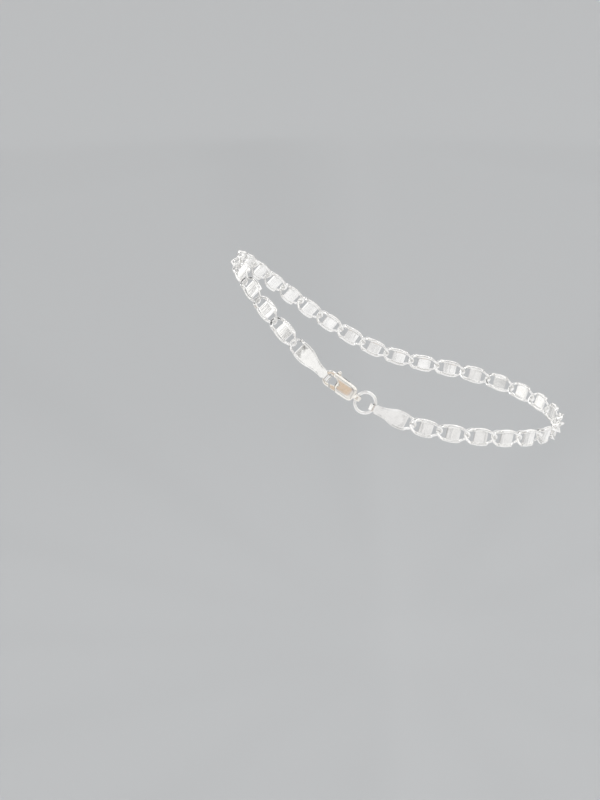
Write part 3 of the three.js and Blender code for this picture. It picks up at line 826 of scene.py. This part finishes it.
def panel_light(nodes, wires, coordinates, dimmest, brightest):
    """Bright upright panels with softly dimmed joints, all the way round."""
    around = nodes.new("ShaderNodeTexGradient")
    around.gradient_type = "RADIAL"
    wires.new(coordinates, around.inputs["Vector"])
    turns = nodes.new("ShaderNodeMath")
    turns.operation = "MULTIPLY"
    turns.inputs[1].default_value = PANELS * 2 * math.pi
    wires.new(around.outputs["Fac"], turns.inputs[0])
    wave = nodes.new("ShaderNodeMath")
    wave.operation = "SINE"
    wires.new(turns.outputs["Value"], wave.inputs[0])
    light = nodes.new("ShaderNodeMapRange")
    light.inputs["From Min"].default_value = -1
    light.inputs["From Max"].default_value = -0.6
    light.inputs["To Min"].default_value = dimmest
    light.inputs["To Max"].default_value = brightest
    wires.new(wave.outputs["Value"], light.inputs["Value"])
    return light.outputs["Result"]


def colour_ramp(nodes, stops):
    ramp = nodes.new("ShaderNodeValToRGB")
    while len(ramp.color_ramp.elements) < len(stops):
        ramp.color_ramp.elements.new(1)
    for mark, (position, colour) in zip(ramp.color_ramp.elements, stops):
        mark.position = position
        mark.color = (*colour, 1)
    return ramp


world = bpy.data.worlds.new("studio")
bpy.context.scene.world = world
world.use_nodes = True
studio_nodes = world.node_tree.nodes
studio_wires = world.node_tree.links
studio_light = studio_nodes["Background"]
direction = studio_nodes.new("ShaderNodeTexCoord")
height = studio_nodes.new("ShaderNodeSeparateXYZ")
studio_wires.new(direction.outputs["Generated"], height.inputs["Vector"])
wall = colour_ramp(studio_nodes, WALL_STOPS)
studio_wires.new(height.outputs["Z"], wall.inputs["Fac"])
studio_wires.new(wall.outputs["Color"], studio_light.inputs["Color"])
in_front = studio_nodes.new("ShaderNodeMapRange")
in_front.inputs["From Min"].default_value = -1
in_front.inputs["From Max"].default_value = -0.55
in_front.inputs["To Min"].default_value = 0.7
in_front.inputs["To Max"].default_value = 1
studio_wires.new(height.outputs["Y"], in_front.inputs["Value"])
dimmed = studio_nodes.new("ShaderNodeMath")
dimmed.operation = "MULTIPLY"
studio_panels = panel_light(studio_nodes, studio_wires, direction.outputs["Generated"],
                            dimmest=0.35, brightest=1.25)
studio_wires.new(studio_panels, dimmed.inputs[0])
studio_wires.new(in_front.outputs["Result"], dimmed.inputs[1])
studio_wires.new(dimmed.outputs["Value"], studio_light.inputs["Strength"])

TABLE_RADIUS = 0.7
TABLE_GAP = 0.005
TABLE_STOPS = (
    (0.0, (1, 1, 1)),
    (0.1, (1, 1, 1)),
    (0.18, (0.84, 0.835, 0.83)),
    (1.0, (0.88, 0.875, 0.865)),
)
CARD_RADIUS = 0.2
CARD_HEIGHT_SHARE = 0.38
CARD_DISTANCE = 0.75
WARM_STOPS = (
    (0.0, (0.72, 0.55, 0.39)),
    (0.05, (0.7, 0.57, 0.45)),
    (0.11, (0.55, 0.48, 0.5)),
    (0.15, (0.16, 0.15, 0.15)),
    (0.18, (0.2, 0.19, 0.19)),
    (0.2, (0.85, 0.84, 0.84)),
)


def glowing_card(name, stops):
    """Makes a card glow by the distance from its middle. It shows only in the polished silver."""
    card = bpy.context.object
    card.name = name
    glow = bpy.data.materials.new(name + "_glow")
    glow.use_nodes = True
    nodes = glow.node_tree.nodes
    wires = glow.node_tree.links
    nodes.remove(nodes["Principled BSDF"])
    light = nodes.new("ShaderNodeEmission")
    place = nodes.new("ShaderNodeTexCoord")
    reach = nodes.new("ShaderNodeVectorMath")
    reach.operation = "LENGTH"
    wires.new(place.outputs["Object"], reach.inputs[0])
    rings = colour_ramp(nodes, stops)
    wires.new(reach.outputs["Value"], rings.inputs["Fac"])
    wires.new(rings.outputs["Color"], light.inputs["Color"])
    wires.new(light.outputs["Emission"], nodes["Material Output"].inputs["Surface"])
    card.data.materials.append(glow)
    card.visible_camera = False
    card.visible_diffuse = False
    card.visible_shadow = False
    return nodes, wires, place, light


bpy.ops.object.select_all(action="DESELECT")
bpy.ops.mesh.primitive_circle_add(vertices=64, radius=TABLE_RADIUS, fill_type="NGON",
                                  location=(0, 0, FLOOR_HEIGHT + TABLE_GAP))
nodes, wires, place, light = glowing_card("light_table", TABLE_STOPS)
table_side = nodes.new("ShaderNodeSeparateXYZ")
wires.new(place.outputs["Object"], table_side.inputs["Vector"])
behind = nodes.new("ShaderNodeMapRange")
behind.inputs["From Min"].default_value = 0.04
behind.inputs["From Max"].default_value = 0.2
behind.inputs["To Min"].default_value = 1
behind.inputs["To Max"].default_value = 0.6
wires.new(table_side.outputs["Y"], behind.inputs["Value"])
table_light = nodes.new("ShaderNodeMath")
table_light.operation = "MULTIPLY"
table_panels = panel_light(nodes, wires, place.outputs["Object"], dimmest=0.6, brightest=1.05)
wires.new(table_panels, table_light.inputs[0])
wires.new(behind.outputs["Result"], table_light.inputs[1])
wires.new(table_light.outputs["Value"], light.inputs["Strength"])
bpy.ops.object.select_all(action="DESELECT")
bpy.ops.mesh.primitive_circle_add(vertices=64, radius=CARD_RADIUS, fill_type="NGON",
                                  location=(0, -CARD_DISTANCE, 0), rotation=(math.pi / 2, 0, 0))
bpy.context.object.data.transform(Matrix.Diagonal((1, CARD_HEIGHT_SHARE, 1, 1)))
glowing_card("warm_card", WARM_STOPS)

FLOOR_LAMP_TILT = (0.35, -0.3, 0)
FLOOR_LAMP_STRENGTH = 0.55
bpy.ops.object.light_add(type="SUN", location=(0, 0, 1), rotation=FLOOR_LAMP_TILT)
floor_lamp = bpy.context.object
floor_lamp.name = "floor_lamp"
floor_lamp.data.energy = FLOOR_LAMP_STRENGTH
floor_lamp.data.angle = math.radians(60)
floor_lamp.visible_glossy = False


def sparkle_lamp(name, location, brightness):
    """A small square lamp that faces the anklet."""
    bpy.ops.object.light_add(type="AREA", location=location)
    lamp = bpy.context.object
    lamp.name = name
    lamp.data.size = 0.2
    lamp.data.energy = brightness
    lamp.rotation_euler = (-Vector(location)).to_track_quat("-Z", "Y").to_euler()
    lamp.visible_camera = False


SPARKLE = 0.5
sparkle_lamp("lamp_left", (-0.5, -0.6, 0.9), SPARKLE)
sparkle_lamp("lamp_right", (0.6, 0.5, 0.9), SPARKLE)

# The camera, at the clasp's side of the anklet and a little above it. It looks down by twenty degrees,
# with a long lens that keeps the near and far links much of a size.
CAMERA_PLACE = (-0.0607, -0.413, 0.1418)
CAMERA_ELEVATION = math.radians(20)
CAMERA_AZIMUTH = math.radians(-4.78)
CAMERA_LENS = 76.5
bpy.ops.object.camera_add(location=CAMERA_PLACE)
camera = bpy.context.object
camera.rotation_euler = (math.pi / 2 - CAMERA_ELEVATION, 0, CAMERA_AZIMUTH)
camera.data.lens = CAMERA_LENS
camera.data.sensor_width = 36
camera.data.clip_start = 0.01
bpy.context.scene.camera = camera
bpy.context.scene.view_settings.view_transform = "Standard"
